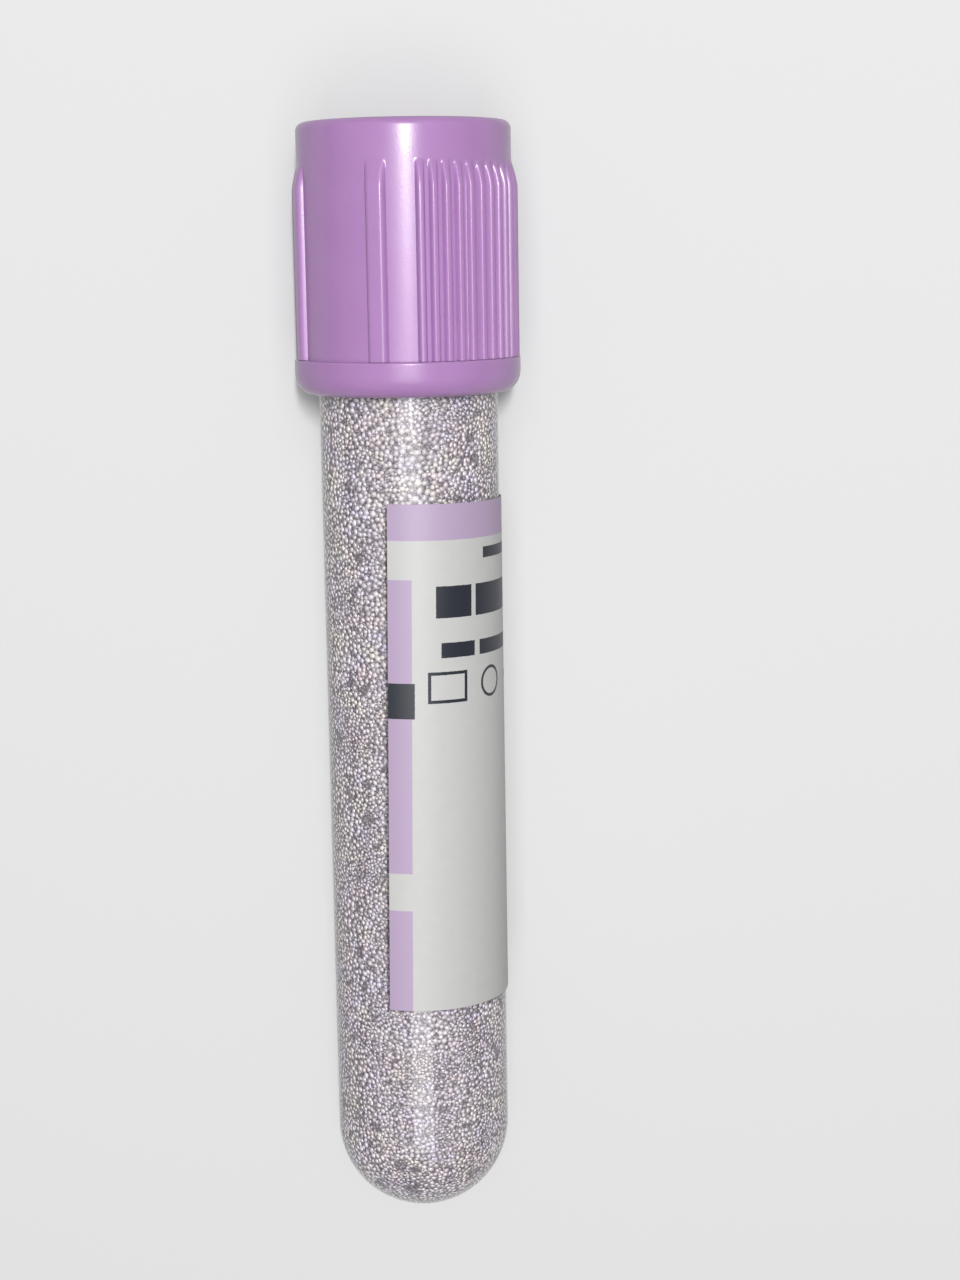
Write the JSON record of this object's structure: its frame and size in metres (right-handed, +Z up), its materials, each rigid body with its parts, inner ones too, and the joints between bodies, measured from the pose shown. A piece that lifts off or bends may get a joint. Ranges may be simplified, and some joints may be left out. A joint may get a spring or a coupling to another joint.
{
  "type": "blood collection tube",
  "caption": "Clear round-bottomed sample tube with a ribbed lavender cap over a rubber stopper, a paper label round its body and a dried spray coat inside.",
  "frame": {"origin": "middle of the object's box, on the surface that it lies on", "axes": "+Y along the lying tube towards its cap, +Z up, +X to the right when seen from above with the cap at the top"},
  "size_m": [0.0164, 0.0816, 0.0167],
  "materials": {
    "clear_plastic": "clear, polished",
    "dried_spray": "fine dried droplets, glinting",
    "label_paper": "coated paper, semi-matt",
    "stopper_rubber": "matt",
    "cap_plastic": "semi-gloss, slightly translucent"
  },
  "bodies": {
    "tube": {"tube": "clear_plastic", "additive_coat": "dried_spray", "label": "label_paper"},
    "stopper": {"stopper": "stopper_rubber"},
    "cap": {"cap": "cap_plastic"}
  },
  "joints": [
    {"name": "closure_pull", "type": "slide", "parent": "tube", "child": "stopper", "axis": [0, 0.9996, 0.0296], "range_m": [0, 0.03]},
    {"name": "cap_turn", "type": "hinge", "parent": "stopper", "child": "cap", "pos_m": [0, 0.02913, 0.00838], "axis": [0, 0.9996, 0.0296], "continuous": true}
  ]
}
